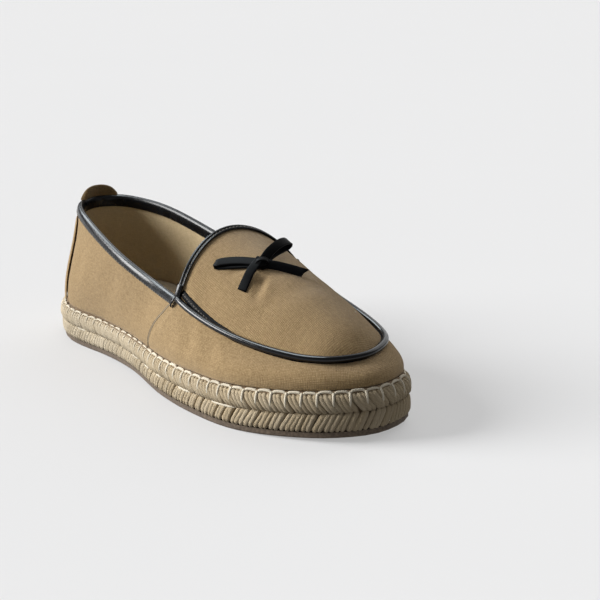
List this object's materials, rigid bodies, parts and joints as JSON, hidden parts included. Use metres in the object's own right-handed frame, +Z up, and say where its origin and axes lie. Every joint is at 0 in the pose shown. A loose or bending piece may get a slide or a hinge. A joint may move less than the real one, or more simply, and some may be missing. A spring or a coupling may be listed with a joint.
{
  "type": "espadrille",
  "caption": "Low slip-on espadrille with a canvas upper, rope sole, piped moccasin apron, bound collar and a small leather bow.",
  "frame": {"origin": "centre of the shoe's bounding box, on the floor plane", "axes": "+X towards the toe, +Y towards the inner side of a right foot, +Z up"},
  "size_m": [0.2817, 0.0971, 0.0832],
  "materials": {
    "outsole_rubber": "thin brown crepe-like rubber sheet, matt",
    "jute": "braided natural jute rope with pale cotton blanket stitches",
    "lining": "plain light cotton sock sheet",
    "canvas": "tan cotton canvas with a visible plain weave",
    "tab_canvas": "brown canvas",
    "black_leather": "smooth black leather with a soft shine"
  },
  "bodies": {
    "root": {"outsole": "outsole_rubber", "midsole": "jute", "insole": "lining", "upper": "canvas", "collar_binding": "black_leather", "tongue_binding": "black_leather", "apron_piping": "black_leather", "heel_counter": "canvas", "heel_tab": "tab_canvas", "bow": "black_leather"}
  },
  "joints": []
}
